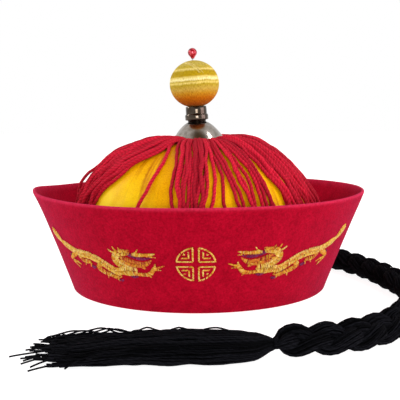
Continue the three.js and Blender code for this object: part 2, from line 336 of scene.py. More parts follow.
class Look(Nodes):
    """A material."""

    def __init__(self, name, **inputs):
        self.material = bpy.data.materials.new(name)
        self.material.use_nodes = True
        super().__init__(self.material.node_tree)
        self.set(**inputs)

    def set(self, **inputs):
        """Values of the shader."""
        for name, value in inputs.items():
            self.feed(self.tree.nodes["Principled BSDF"].inputs[name.replace("_", " ")], value)

    def stretched(self, coordinates, stretch):
        return self.node("Mapping", Vector=coordinates, Scale=stretch).outputs["Vector"]

    def place(self, stretch=(1, 1, 1)):
        """Coordinates on the object in metres, stretched."""
        return self.stretched(self.node("TexCoord").outputs["Object"], stretch)

    def surface(self, stretch=(1, 1, 1)):
        """Coordinates around and along the surface, stretched."""
        coords = self.node("UVMap")
        coords.uv_map = "surface"
        return self.stretched(coords.outputs["UV"], stretch)

    def parts(self, vector):
        """The X, Y and Z of a vector, by name."""
        return self.node("SeparateXYZ", Vector=vector).outputs

    def noise(self, vector, scale, detail=3.0, roughness=0.55):
        node = self.node("TexNoise", Vector=vector, Scale=scale, Detail=detail, Roughness=roughness)
        return node.outputs["Fac"]

    def shade(self):
        node = self.node("Attribute")
        node.attribute_name = "shade"
        return node.outputs["Fac"]

    def math(self, operation, *values):
        node = self.node("Math")
        node.operation = operation
        for socket, value in zip(node.inputs, values):
            self.feed(socket, value)
        return node.outputs["Value"]

    def mixed(self, *values, kind="MIX"):
        """A mix of two colours, from the share of the second, the first and the second."""
        node = self.node("Mix")
        node.data_type = "RGBA"
        node.blend_type = kind
        for at, value in zip(MIX_INPUTS, values):
            self.feed(node.inputs[at], value)
        return node.outputs[MIX_RESULT]

    def times(self, product, *others):
        """The product of colours."""
        for other in others:
            product = self.mixed(1.0, product, other, kind="MULTIPLY")
        return product

    def plies(self, count=2.0):
        """From 0 in the grooves between the twisted plies of a yarn to 1 on their crests."""
        parts = self.parts(self.surface())
        phase = self.math("MULTIPLY_ADD", parts["X"], count, parts["Y"])
        return self.math("ABSOLUTE", self.math("SINE", self.math("MULTIPLY", phase, math.pi)))

    def bump(self, height, distance, strength):
        node = self.node("Bump", Height=height, Distance=distance, Strength=strength)
        self.set(Normal=node.outputs["Normal"])


# Share of the brim's outline, from its outside to its inside, at which the felt is folded and a highlight is
# painted along the rim
FOLD_SHARE = 0.487


def felt_look():
    look = Look(
        "crimson_felt", Roughness=0.95, Specular_IOR_Level=0.02, Sheen_Weight=0.08, Sheen_Roughness=0.5,
        Sheen_Tint=(1.0, 0.2, 0.6),
    )
    fibres = look.noise(look.place(), 620, 5, 0.75)
    clouds = look.noise(look.place(), 110, 4, 0.6)
    base = look.ramp(clouds, (0.3, (0.325, 0.001, 0.0118)), (0.7, (0.415, 0.002, 0.0172)))
    fleck = look.ramp(fibres, (0.36, (0.62, 0.3, 0.5)), (0.64, WHITE))
    share = look.parts(look.surface())["Y"]
    # Painted light: the inside of the brim is painted a quarter lighter than the outside.
    inside = look.ramp(share, (0.5, WHITE), (0.6, (1.25, 1.2, 1.25)))
    # Painted highlight: a lighter pink line is painted along the folded rim, broken up by the fibres.
    off_fold = look.math("ABSOLUTE", look.math("SUBTRACT", share, FOLD_SHARE))
    fold = look.math("MULTIPLY", look.ramp(off_fold, (0.03, WHITE), (0.075, BLACK)), fibres)
    look.set(Base_Color=look.mixed(fold, look.times(base, fleck, inside), (0.64, 0.03, 0.085)))
    look.bump(fibres, 0.0007, 0.6)
    return look


def satin_look():
    look = Look("yellow_satin", Roughness=0.4, Specular_IOR_Level=0.04)
    folds = look.noise(look.place(), 30, 3)
    weave = look.noise(look.place((1, 1, 3)), 900, 3, 0.7)
    lines = look.noise(look.surface((70, 2.2, 1)), 1.0, 3)
    # Painted shade and light of soft folds: a slow noise paints the satin darker orange in places and lighter
    # yellow in others.
    base = look.ramp(folds, (0.3, (0.83, 0.42, 0.0)), (0.7, (0.95, 0.58, 0.001)))
    thread = look.ramp(weave, (0.36, (0.78, 0.62, 0.4)), (0.6, WHITE))
    # Painted shade: the crease lines are painted darker orange-brown.
    crease = look.ramp(lines, (0.32, (0.64, 0.44, 0.25)), (0.45, WHITE))
    decimetres = look.parts(look.place((10, 10, 10)))
    # Painted shade: the crown is painted darker and browner towards its top, under the yarns.
    high = look.ramp(decimetres["Z"], (0.7, WHITE), (1.0, (0.86, 0.72, 0.6)))
    # Painted highlight: a pale patch on the lower left of the crown, low down and left of the middle, where
    # the fold noise is high.
    left = look.math("SUBTRACT", 0.0, decimetres["X"])
    low = look.math("SUBTRACT", 1.0, decimetres["Z"])
    pale = look.math("MULTIPLY", look.math("MULTIPLY", left, low), folds)
    painted_highlight = look.ramp(pale, (0.03, BLACK), (0.12, (0.78, 0.78, 0.78)))
    look.set(Base_Color=look.mixed(painted_highlight, look.times(base, thread, high, crease), (0.98, 0.78, 0.016)))
    look.bump(look.math("MULTIPLY_ADD", lines, 3.0, weave), 0.0003, 0.4)
    return look


def yarn_look(name, groove, crest, specular, dull):
    """groove and crest are the colours between the plies and on them: the darker groove is painted shade and
    the lighter crest a painted highlight. dull darkens the yarns of shade 0.
    """
    look = Look(name, Roughness=0.85, Specular_IOR_Level=specular)
    fibres = look.noise(look.surface((6, 1.6, 1)), 6, 4, 0.7)
    height = look.math("MULTIPLY_ADD", fibres, 1.3, look.math("MULTIPLY_ADD", look.plies(), 0.36, -0.17))
    # Painted shade in the grooves between the plies and a painted highlight on their crests.
    base = look.ramp(height, (0.22, groove), (0.9, crest))
    look.set(Base_Color=look.times(base, look.ramp(look.shade(), (0.0, dull), (1.0, WHITE))))
    look.bump(height, 0.0004, 0.6)
    return look


def metal_look(name, dark, light, roughness, *painted_shade_stops):
    """The last two arguments are stops along the outline, each with its share and how much of the colour is
    left there; they paint shade near where the cap and the collar meet.
    """
    look = Look(name, Metallic=1.0)
    share = look.parts(look.surface())["Y"]
    # Painted shade: darker along the outline near where the cap and the collar meet.
    painted_shade = look.ramp(share, *[(at, (left,) * 3) for at, left in painted_shade_stops])
    cloud = look.noise(look.place(), 200, 4, 0.6)
    look.set(Base_Color=look.times(look.ramp(cloud, (0.38, dark), (0.6, light)), painted_shade))
    fine = look.noise(look.place((1, 1, 3)), 900, 4, 0.7)
    look.set(Roughness=look.math("MULTIPLY_ADD", fine, 0.12, roughness))
    look.bump(fine, 0.00002, 0.2)
    return look


# Colours of the wound ball by height, from its bottom to its top. The bright bands are painted highlights of
# the silk's sheen, and the orange-brown bottom is painted shade with a painted reflection of the red yarn.
PAINTED_SILK_BANDS = [
    (0.0, (0.2, 0.04, 0.004)), (0.158, (0.36, 0.08, 0.005)), (0.279, (0.5, 0.14, 0.003)),
    (0.35, (0.52, 0.25, 0.012)), (0.41, (0.52, 0.34, 0.05)), (0.47, (0.42, 0.29, 0.014)),
    (0.497, (0.72, 0.56, 0.14)), (0.515, (0.48, 0.34, 0.03)), (0.54, (0.85, 0.74, 0.34)),
    (0.572, (0.72, 0.56, 0.15)), (0.592, (0.42, 0.27, 0.004)), (0.66, (0.4, 0.26, 0.005)),
    (0.69, (0.74, 0.58, 0.17)), (0.72, (0.48, 0.34, 0.03)), (0.8, (0.5, 0.38, 0.07)),
    (0.9, (0.47, 0.34, 0.03)), (1.0, (0.42, 0.28, 0.012)),
]


def silk_look():
    look = Look(
        "wound_silk", Roughness=0.55, Specular_IOR_Level=0.06, Sheen_Weight=0.22, Sheen_Roughness=0.3,
        Sheen_Tint=(1.0, 0.85, 0.25),
    )
    share = look.parts(look.surface())["Y"]
    slow = look.noise(look.surface((14, 3, 1)), 1.0, 3)
    streaks = look.noise(look.surface((190, 26, 1)), 1.0, 3, 0.65)
    sway = look.math("MULTIPLY_ADD", look.math("SUBTRACT", slow, 0.5), 0.035, share)
    level = look.math("MULTIPLY_ADD", look.math("SUBTRACT", streaks, 0.5), 0.028, sway)
    # Thread streaks: the darker stops are the threads' own tone, and the brightest, bluish-white stop paints
    # small glints.
    tone = look.ramp(streaks, (0.32, (0.5, 0.42, 0.3)), (0.5, (0.95, 0.95, 0.9)), (0.7, (1.15, 1.2, 1.6)))
    look.set(Base_Color=look.times(look.ramp(level, *PAINTED_SILK_BANDS), tone))
    look.bump(streaks, 0.0002, 0.5)
    return look


def thread_look(name, *colours):
    look = Look(name, Roughness=0.42, Specular_IOR_Level=0.25)
    glint = look.noise(look.place(), 900, 3, 0.7)
    shade = look.math("MULTIPLY_ADD", glint, 1.5, look.math("SUBTRACT", look.shade(), 0.75))
    places = np.linspace(0, 0.95, len(colours))
    look.set(Base_Color=look.ramp(shade, *[(float(at), colour) for at, colour in zip(places, colours)]))
    look.bump(look.plies(), 0.0002, 0.6)
    return look


def bead_look():
    look = Look("red_pearl", Roughness=0.12, Metallic=0.2, Specular_IOR_Level=0.35)
    # Dark red with pale pink spots: the spots are painted highlights.
    cloud = look.noise(look.place(), 420, 2)
    stops = (0.38, (0.13, 0.002, 0.005)), (0.52, (0.36, 0.005, 0.016)), (0.66, (0.62, 0.07, 0.09))
    look.set(Base_Color=look.ramp(cloud, *stops))
    return look


def wire_look():
    look = Look("pin_wire", Metallic=1.0)
    fine = look.noise(look.place((1, 1, 8)), 900, 2)
    look.set(Base_Color=look.ramp(fine, (0.3, (0.16, 0.15, 0.14)), (0.7, (0.34, 0.33, 0.32))))
    look.set(Roughness=look.math("MULTIPLY_ADD", fine, 0.2, 0.25))
    return look


FELT_LOOK = felt_look()
SATIN_LOOK = satin_look()
RED_YARN_LOOK = yarn_look(
    "crimson_yarn", (0.25, 0.001, 0.007), (0.73, 0.016, 0.046), 0.08, dull=(0.56, 0.52, 0.52),
)
BLACK_YARN_LOOK = yarn_look(
    "black_yarn", (0.0001, 0.0001, 0.0002), (0.0095, 0.0095, 0.0125), 0.025, dull=(0.1, 0.1, 0.1),
)
# The last two stops of each metal paint shade near where the cap and the collar meet.
CAP_LOOK = metal_look("cap_brass", (0.22, 0.19, 0.16), (0.34, 0.3, 0.27), 0.12, (0.36, 1.0), (0.52, 0.5))
COLLAR_LOOK = metal_look(
    "collar_brass", (0.046, 0.034, 0.024), (0.07, 0.054, 0.042), 0.05, (0.19, 0.5), (0.22, 1.0),
)
SILK_LOOK = silk_look()
GOLD_LOOK = thread_look(
    "gold_thread", (0.36, 0.035, 0.007), (0.62, 0.18, 0.012), (0.6, 0.36, 0.012), (0.74, 0.52, 0.16),
)
# Pale silk of the crossing threads on the ball: the paleness is a painted highlight.
THREAD_LOOK = thread_look("pale_silk", (0.5, 0.34, 0.03), (0.66, 0.48, 0.09), (0.84, 0.7, 0.26))
ACCENT_LOOK = thread_look("purple_thread", (0.09, 0.002, 0.025), (0.2, 0.006, 0.07), (0.34, 0.03, 0.14))
BEAD_LOOK = bead_look()
WIRE_LOOK = wire_look()

# Camera
camera_data = bpy.data.cameras.new("camera")
camera_data.sensor_width = SENSOR
camera_data.lens = SENSOR * FOCAL_PIXELS / IMAGE_PIXELS
camera_data.clip_start = 0.01
camera = show("camera", camera_data)
camera.matrix_world = (
    Matrix.Translation(CAMERA_PLACE)
    @ Matrix.Rotation(-CAMERA_YAW, 4, "Z")
    @ Matrix.Rotation(math.pi / 2 - CAMERA_PITCH, 4, "X")
    @ Matrix.Rotation(CAMERA_ROLL, 4, "Z")
)
bpy.context.scene.camera = camera

UP = np.array([0.0, 0.0, 1.0])

# Braid: three strands of yarn that cross over each other
braid_line = catmull([(x, y, BRAID_MIDDLE) for x, y in BRAID_ROUTE] + TIE_ROUTE, 30)
braid_length = arc_of(braid_line)[-1]
braid_line = resample(braid_line, round(braid_length / BRAID_STEP))


def build_braid():
    tubes = Tubes()
    arc = arc_of(braid_line)
    along = heading(braid_line)
    from_end = arc - braid_length
    front = smoothstep(from_end, *ROLL_STRETCH)
    roll = (BRAID_ROLL * front)[:, None]
    level = unit(np.cross(along, UP))
    side = level * np.cos(roll) + np.cross(level, along) * np.sin(roll)
    rise = np.cross(side, along)
    size = 1 - NARROWING * smoothstep(from_end, *NARROW_STRETCH)
    plump = 1 + 0.05 * np.sin(arc / 31) + 0.04 * np.sin(arc / 13 + 1)
    wide, high, swing, lift = ((back + (near - back) * front) * size for back, near in STRAND_SIZES)
    period = np.interp(arc, [0, braid_length], BRAID_PERIODS)
    turns = np.concatenate([[0], np.cumsum(np.diff(arc) / period[1:])])
    near_tie = from_end > -LOBE_STRETCH
    at_lobe = np.interp(-LOBE_AT, -braid_line[near_tie, 0], turns[near_tie])
    for strand in range(STRANDS):
        phase = 2 * np.pi * (turns - at_lobe - 0.25 + strand / STRANDS)
        middle = braid_line + side * (swing * np.sin(phase))[:, None]
        middle += rise * (lift * np.sin(2 * phase))[:, None]
        tubes.add(middle, rise, wide * plump - CORE_INSET, sides=12, shade=0.1, flat=0.72)
        way = heading(middle)
        over = unit(np.cross(side, way))
        beside = np.cross(way, over)
        for yarn in range(STRAND_YARNS):
            angle = 2 * np.pi * (yarn / STRAND_YARNS + arc / YARN_TURN) + waver(arc, 0.2, 45)
            out = plump * (1 + 0.03 * waver(arc, 1, 45))
            across = ((wide - BLACK_YARN) * out * np.cos(angle))[:, None]
            up = ((high - BLACK_YARN) * out * np.sin(angle))[:, None]
            line = middle + beside * across + over * up
            line[:, 2] = np.maximum(line[:, 2], LEAST_HEIGHT)
            tubes.add(line, over, BLACK_YARN, sides=4, shade=rng.random())
    return tubes


COIL_STEPS = 26


def coil(tubes, line, widths, turns, thread, shade):
    """A thread wound round a line, whose half width and half height are given at its two ends."""
    steps = COIL_STEPS * turns
    t = np.linspace(0, 1, steps)
    dense = resample(np.asarray(line, float), steps)
    along = heading(dense)
    side = unit(np.cross(along, UP))
    rise = np.cross(side, along)
    angle = (2 * np.pi * turns * t)[:, None]
    wide, high = (np.interp(t, [0, 1], ends)[:, None] for ends in zip(*widths))
    out = side * np.cos(angle) * wide + rise * np.sin(angle) * high
    tubes.add(dense + out, unit(out), thread, shade=shade)


def build_tie():
    tubes = Tubes()
    waist = [(42.2, -184, 7.1), (38.2, -184.3, 6.8)]
    tubes.add(waist, UP, 2.9, sides=16, shade=0.1)
    coil(tubes, [(41.8, -184, 7.1), (39.4, -184.2, 6.9)], [(3.05, 3.05), (3.0, 3.0)], 4, 0.36, shade=0.8)
    return tubes


# Half width and half height of the tassel by the share of its length
TASSEL_WIDE = [
    (0, 3.1), (0.05, 7.5), (0.09, 10.5), (0.13, 12.2), (0.2, 13.4), (0.28, 14.6), (0.4, 14), (0.5, 13.6),
    (0.6, 14.5), (0.7, 18.5), (0.8, 21), (0.9, 23), (1, 24),
]
TASSEL_HIGH = [
    (0, 2.8), (0.05, 5), (0.1, 6.2), (0.3, 6.8), (0.5, 6.3), (0.65, 5.2), (0.8, 3.6), (0.9, 2.6), (1, 1.8),
]
TASSEL_START = 6.8
TASSEL_FLOOR = 0.8
TASSEL_YARNS = 230
TASSEL_STEPS = 64
# Where its yarns end, as a share of its length: the mean, the spread, the shortest and the longest
TASSEL_ENDS = (0.835, 0.045, 0.7, 0.94)
# Tips of the loose ends that stand out from the tassel
STRAYS = [
    (-79, -151, 3), (-82, -157, 3), (-91, -159, 2), (-91, -170, 2), (-94, -178, 2), (-101, -186, 1),
    (-92, -188, 1.5), (-92, -193, 1), (-92, -198, 1), (-86, -203, 1), (-86, -209, 1), (-68, -206, 1),
]
# Yarns that stand up from its back edge as loops: where along, how high and how long
LOOPS = [
    (0.21, 1.2, 0.05), (0.36, 0.9, 0.03), (0.49, 1.3, 0.035), (0.53, 1, 0.03), (0.61, 1.3, 0.05),
    (0.69, 1.6, 0.08), (0.66, 1.5, 0.06), (0.76, 1.8, 0.07), (0.8, 1.6, 0.1),
]
LOOP_HEIGHT = 1.7
LOOP_LEAN = 0.5


def bezier(a, b, c, count):
    t = np.linspace(0, 1, count)[:, None]
    return (1 - t) ** 2 * np.array(a) + 2 * t * (1 - t) * np.array(b) + t**2 * np.array(c)


def build_tassel():
    tubes = Tubes()
    flat = resample(catmull(TASSEL_ROUTE), TASSEL_STEPS)
    arc = arc_of(flat)
    at = arc / arc[-1]
    across = np.interp(at, *np.array(TASSEL_WIDE).T)
    high = np.interp(at, *np.array(TASSEL_HIGH).T)
    start = (TASSEL_START - high[0] - TASSEL_FLOOR) * (1 - smoothstep(at, 0, 0.1))
    line = np.column_stack([flat, high + TASSEL_FLOOR + start])
    side = unit(np.cross(heading(line), UP))

    def lay(a, b, loop=None):
        """A yarn down the whole tassel from its place across and up in it, from -1 to 1."""
        loose = smoothstep(at, 0.05, 0.35)
        if b < 0:
            a /= max(1 - b * b, 0.16) ** 0.5
        sway = (waver(arc, 1.3, 75) + waver(arc, 0.35, 22)) * loose
        place = line + side * (across * a * 0.97 + sway)[:, None]
        place[:, 2] += high * b + (waver(arc, 0.5, 50) + waver(arc, 0.2, 18)) * loose
        if loop is not None:
            middle, height, length = loop
            hump = hill(at, middle, length) * height * LOOP_HEIGHT
            place[:, 2] += hump
            place += side * (hump * LOOP_LEAN)[:, None]
        return place

    def put(place):
        place[:, 2] = np.maximum(place[:, 2], LEAST_HEIGHT)
        tubes.add(place, UP, BLACK_YARN, sides=5, shade=rng.random())

    mean, spread, shortest, longest = TASSEL_ENDS
    for k in range(TASSEL_YARNS):
        a, b = disc_place(k, TASSEL_YARNS)
        place = lay(a, b)
        end = np.clip(mean + 0.05 * a + spread * rng.standard_normal(), shortest, longest)
        curl = smoothstep(at, end - 0.1, end)
        place += side * (curl * 1.8 * rng.standard_normal())[:, None]
        place[:, 2] += curl * 1.5 * rng.random()
        put(place[: int(TASSEL_STEPS * end)])
    for tip in STRAYS:
        a = np.clip((tip[1] + 184) / 24, -0.9, 0.9)
        leave = int(TASSEL_STEPS * (0.62 + 0.12 * rng.random()))
        place = lay(a, np.clip(0.3 * rng.standard_normal(), -0.4, 0.5))
        way = unit(place[leave] - place[leave - 3])
        gap = np.linalg.norm(np.array(tip) - place[leave])
        put(np.vstack([place[:leave], bezier(place[leave], place[leave] + way * gap * 0.55, tip, 20)]))
    for loop in LOOPS:
        place = lay(0.6 + 0.3 * rng.random(), 0.8, loop)
        put(place[: int(TASSEL_STEPS * (0.84 + 0.08 * rng.random()))])
    return tubes


def disc_place(k, count):
    """The k-th of count places spread evenly over a disc."""
    radius = math.sqrt((k + 0.5) / count)
    angle = k * math.pi * (3 - math.sqrt(5))
    return radius * math.cos(angle), radius * math.sin(angle)


def build_root():
    tubes = Tubes()
    core = [(0, 97.5, BRAID_MIDDLE), (0, 104, BRAID_MIDDLE), (0, 112.2, BRAID_MIDDLE)]
    tubes.add(core, UP, [8.0, 7.6, 7.2], sides=32, shade=0.1, flat=0.8)
    coil(tubes, [(0, 101, BRAID_MIDDLE), (0, 112, BRAID_MIDDLE)], [(8.8, 7.0), (8.0, 6.3)], 9, 0.6, shade=0.7)
    return tubes


braid, tie, tassel, _ = (
    piece(f"queue_{part}_{kind}", build(), BLACK_YARN_LOOK, [f"queue_{part}"])
    for part, kind, build in (
        ("braid", "yarns", build_braid), ("tie", "thread", build_tie), ("tassel", "yarns", build_tassel),
        ("root", "whipping", build_root),
    )
)


# Brim
def brim_radius(z):
    return BRIM_FOOT + (BRIM_RIM - BRIM_FOOT) * z / BRIM_HEIGHT


def bump(bearing, middle, width):
    """A hill by bearing."""
    return hill((bearing - middle + TURN / 2) % TURN - TURN / 2, 0, width)


def brim_share(z):
    return np.clip(z / BRIM_HEIGHT, 0, 1)


def foot_spread(bearing, z):
    """How far the hat's foot is pulled outward at the front, less and less up to the rim."""
    return (1 - brim_share(z)) ** 2.5 * (1 + np.cos(np.radians(bearing)))


def brim_sway(bearing, z):
    """How far the felt stands outward and upward of an even cone, by bearing and height."""
    share = brim_share(z)
    b = np.radians(bearing)
    wave = 0.2 * np.sin(3 * b + 0.6) + 0.15 * np.sin(7 * b + 2) + 0.1 * np.sin(13 * b + 4)
    out = (wave + 1.9 * bump(bearing, 90, 50)) * share + 2.9 * share**9 * bump(bearing, -90, 17)
    out = out + foot_spread(bearing, z)
    up = -RIM_WAVE * np.cos(2 * b) * share + 1.5 * share**6 * bump(bearing, -90, 14)
    up = up + (0.8 * bump(bearing, 125, 30) - 0.9 * bump(bearing, -122, 22)) * share
    return out, up


BRIM_ROWS = 34
BRIM_COLUMNS = 288
CROWN_ROWS = 96
CROWN_INNER_ROWS = 40
CROWN_COLUMNS = 300


def build_brim():
    tilt = math.atan2(BRIM_RIM - BRIM_FOOT, BRIM_HEIGHT)
    wall = FELT / math.cos(tilt)
    edge = FELT / 2
    edge_z = BRIM_HEIGHT - edge
    edge_r = brim_radius(edge_z) - wall / 2
    heights = np.linspace(0.5, edge_z - 1, BRIM_ROWS)
    outside = [(brim_radius(z), z) for z in heights]
    inside = [(brim_radius(z) - wall, z) for z in heights[::-1]]
    turn = np.linspace(-tilt, math.pi - tilt, 9)
    fold = [(edge_r + edge * math.cos(a), edge_z + edge * math.sin(a)) for a in turn]
    foot = [(BRIM_FOOT - wall + 0.4, 0.0), (BRIM_FOOT - 0.4, 0.0)]

    def soften(radius, height, bearing, row):
        out, up = brim_sway(bearing, height)
        share = brim_share(height)
        b = np.radians(bearing)
        seam = 0.7 * bump(bearing, TURN / 2, 2) * share**0.3
        dimple = 0.12 * np.sin(19 * b + height / 7) * np.sin(11 * b - height / 11)
        return radius + out + dimple * share - seam, height + up + 0.25 * np.sin(5 * b + 1) * share**4

    return revolved(outside + fold + inside + foot, BRIM_COLUMNS, soften)


brim = piece("brim_felt", build_brim(), FELT_LOOK, ["brim"])


# Crown
def crown_profile():
    line = resample(catmull(CROWN_OUTLINE, 40)[::-1], 400)
    way = heading(line)
    normal = np.stack([-way[:, 1], way[:, 0]], 1)
    return line, normal, arc_of(line)


CROWN_LINE, CROWN_NORMAL, CROWN_ARC = crown_profile()


def crown_at(arc, height):
    """Radius and height above the floor at an arc from the pin down the crown, raised off its surface."""
    values = [np.interp(arc, CROWN_ARC, table) for table in (*CROWN_LINE.T, *CROWN_NORMAL.T)]
    return values[0] + values[2] * height, values[1] + values[3] * height


def off_seam(bearing):
    """Degrees from the nearest seam of the crown."""
    panel = TURN / PANELS
    shifted = bearing + panel / 2
    return np.abs(shifted - panel * np.round(shifted / panel))


def build_crown():
    arcs = np.linspace(0, CROWN_ARC[-1], CROWN_ROWS)
    outside = np.stack(crown_at(arcs, 0), 1)
    inside = np.stack(crown_at(np.linspace(CROWN_ARC[-1], 1, CROWN_INNER_ROWS), -CROWN_WALL), 1)
    inside[-1, 0] = outside[0, 0]

    def quilt(radius, height, bearing, row):
        off = off_seam(bearing)
        b = np.radians(bearing)
        outer = row < CROWN_ROWS
        fade = smoothstep(height, 0, 18) * smoothstep(radius, 8, 40)
        dent = SEAM_DEPTH * (1 - smoothstep(off, 0, SEAM_WIDTH))
        arc = np.interp(row, np.arange(CROWN_ROWS), arcs)
        pucker = 0.45 * np.sin(arc * 1.15 + 2 * np.sin(bearing)) * hill(off, 0, 5.5) * (off > 0.4)
        crease = 0.35 * np.sin(arc / 6 + b * 9) * np.sin(b * 23 + arc / 15)
        swell = 0.5 * smoothstep(off, 4, 24)
        change = np.where(outer, swell - dent + pucker + crease, -dent) * fade
        return radius + change + foot_spread(bearing, height) * smoothstep(radius, 60, 80), height

    return revolved(np.vstack([outside, inside]), CROWN_COLUMNS, quilt)


crown = piece("crown_satin", build_crown(), SATIN_LOOK, ["crown"])


# Yarn fringe. A bundle is its number of yarns, its edges as bearings at YARN_ARCS, the arcs from the pin down
# the crown, how far it stands off, and how high its yarns pile up
YARN_ARCS = [10, 25, 40, 55, 68, 80, 92, 104, 140]
FLAT_PILE = (2.7, 2.7, 3.0, 3.1, 3.1, 3.1, 3.1, 3.1, 3.1)
FULL_PILE = (3.2, 4.4, 4.0, 3.4, 3.4, 3.8, 4.8, 5.6, 5.4)
RIGHT_PILE = (2.7, 4.8, 5.4, 3.8, 2.2, 1.9, 2.4, 3.2, 4.0)


def lone(bearings, lift=0.0):
    """A bundle of a single yarn."""
    return 1, bearings, bearings, lift, FLAT_PILE


BUNDLES = [
    (34, (-110, -92, -94, -98, -100, -102, -103, -104, -106),
     (-14, -27, -27, -31.5, -42.6, -48.5, -55.4, -58.4, -61), 0.8, FULL_PILE),
    lone((-34, -32, -28, -21.9, -22, -24.2, -26.2, -28.8, -31)),
    lone((-26, -24, -20, -14.9, -13.4, -13.3, -12.9, -10.8, -9.5), 0.4),
    (6, (-12, -18, -16.2, -12.2, -10.9, -10.4, -10.1, -8.9, -8),
     (-3.4, -6, -4.8, -3.8, -3.4, -3.2, -3.1, -3, -3.2), 0.4, FLAT_PILE),
    (6, (-3, -4.6, -3.6, -2.2, -1.7, -1.6, -1.6, -1.9, -2.4),
     (2.6, 5.8, 6.1, 5.6, 5.2, 4.5, 3.1, 1.2, 0), 0.4, FLAT_PILE),
    lone((8, 8, 7.5, 7.3, 8.7, 8.8, 7.1, 5, 4)),
    lone((12, 11, 9.5, 9, 11.2, 12.5, 11.6, 11.4, 11.5)),
    (2, (14, 14, 12.5, 12, 13.8, 15.5, 17.2, 19.1, 21),
     (16, 16, 14.5, 13.8, 15.7, 17.6, 19.6, 20.9, 23), 0.3, FLAT_PILE),
    (3, (19, 19, 17.5, 17.5, 19.1, 20.7, 22.4, 24, 25),
     (25, 25, 23, 23, 24, 26, 26, 25.2, 26.5), 0.3, FLAT_PILE),
    (4, (27, 27, 26.5, 27, 29, 29.4, 30.3, 30.8, 32),
     (34, 34, 33.5, 33.5, 33.9, 34.1, 35, 36, 38), 0.4, FLAT_PILE),
    (9, (38, 38, 37, 37, 38.5, 39.8, 43, 43.5, 45),
     (60, 58, 56, 55, 55, 55, 55.3, 57, 59), 0.1, RIGHT_PILE),
    (24, (61, 60, 58, 57, 57.5, 58, 59, 63.5, 65),
     (104, 103, 102, 102, 102, 103, 103, 104, 105), 0, RIGHT_PILE),
    (18, (106, 106, 107, 108, 108, 109, 110, 111, 112),
     (150, 148, 147, 146, 146, 146, 145, 145, 145), 0, RIGHT_PILE),
    (18, (152, 152, 152, 152, 153, 153, 154, 154, 155),
     (196, 196, 196, 195, 195, 194, 194, 194, 194), 0, FLAT_PILE),
    (22, (198, 198, 199, 200, 202, 203, 204, 204, 205),
     (246, 246, 247, 248, 250, 250, 250, 250, 250), 0.2, FLAT_PILE),
]
# A yarn of the left bundle that hangs loose near the brim: how far off the crown, and the arc and width
LOOSE_YARN = (-80, -82, -86, -92, -94, -95, -97, -98, -98)
LOOSE_OFF, LOOSE_ARC, LOOSE_WIDTH = 5.0, 93, 12
# Where the yarns stand off the crown as a whole: bearing, its width, arc, its width, and how far
FLARES = [(-95, 22, 66, 15, 1.7), (-100, 16, 106, 13, 4.5), (98, 16, 106, 13, 4.2)]
FRINGE_ARCS = np.arange(9, 142, 1.3)
# The arc at which the shortest yarn ends, and how much longer a yarn may be
FRINGE_END, UNEVEN = 128, 12
LOWEST_YARN = RED_YARN + 0.1
# How much a yarn sinks in between two others, sideways and downward
YARN_REACH = 0.95
YARN_SETTLE = 0.82
CAP_CLEAR = 3.4
# The fringe is split in four pieces by where its yarns hang
QUARTERS = ("front", "right", "back", "left")


def smoothed(values, reach):
    """values with a soft running mean over 2 reach + 1 places."""
    kernel = np.hanning(2 * reach + 1)
    padded = np.pad(values, reach, mode="reflect", reflect_type="odd")
    return np.convolve(padded, kernel / kernel.sum(), "valid")


def fringe_yarns(radius):
    """For each yarn its bearings, how far it stands off, how much it hangs loose and its highest pile."""
    arcs = FRINGE_ARCS
    yarns = []
    for count, left, right, lift, pile in BUNDLES:
        for k in range(count):
            share = 0.5 if count == 1 else k / (count - 1)
            share += 0.7 * (rng.random() - 0.5) / max(count, 2)
            ends = [a + (b - a) * share for a, b in zip(left, right)]
            bearing = smoothed(np.interp(arcs, YARN_ARCS, ends), 8)
            loose = smoothstep(arcs, 30, 70)
            wander = waver(arcs, min(2.2, 0.45 + 0.16 * count), 52) * loose + waver(arcs, 0.3, 13)
            yarns.append((bearing + np.degrees(wander / radius), lift, 0.0, pile))
    loose_bearing = smoothed(np.interp(arcs, YARN_ARCS, LOOSE_YARN), 8)
    return [*yarns, (loose_bearing, BUNDLES[0][3], LOOSE_OFF, FULL_PILE)]


def piled_heights(yarns, radius):
    """The height of each yarn, laid down one by one in a random order on those that lie there."""
    width = 2 * RED_YARN * YARN_REACH
    heights = [None] * len(yarns)
    placed = []
    for i in rng.permutation(len(yarns)):
        height = np.full(len(FRINGE_ARCS), LOWEST_YARN)
        for other in placed:
            apart = np.radians(np.abs(yarns[i][0] - yarns[other][0])) * radius
            pile = heights[other] + YARN_SETTLE * np.sqrt(np.maximum(width**2 - apart**2, 0))
            height = np.where(apart < width, np.maximum(height, pile), height)
        ceiling = np.interp(FRINGE_ARCS, YARN_ARCS, yarns[i][3]) + 1.2 * (rng.random() - 0.5)
        heights[i] = np.minimum(height, ceiling)
        placed.append(i)
    return heights


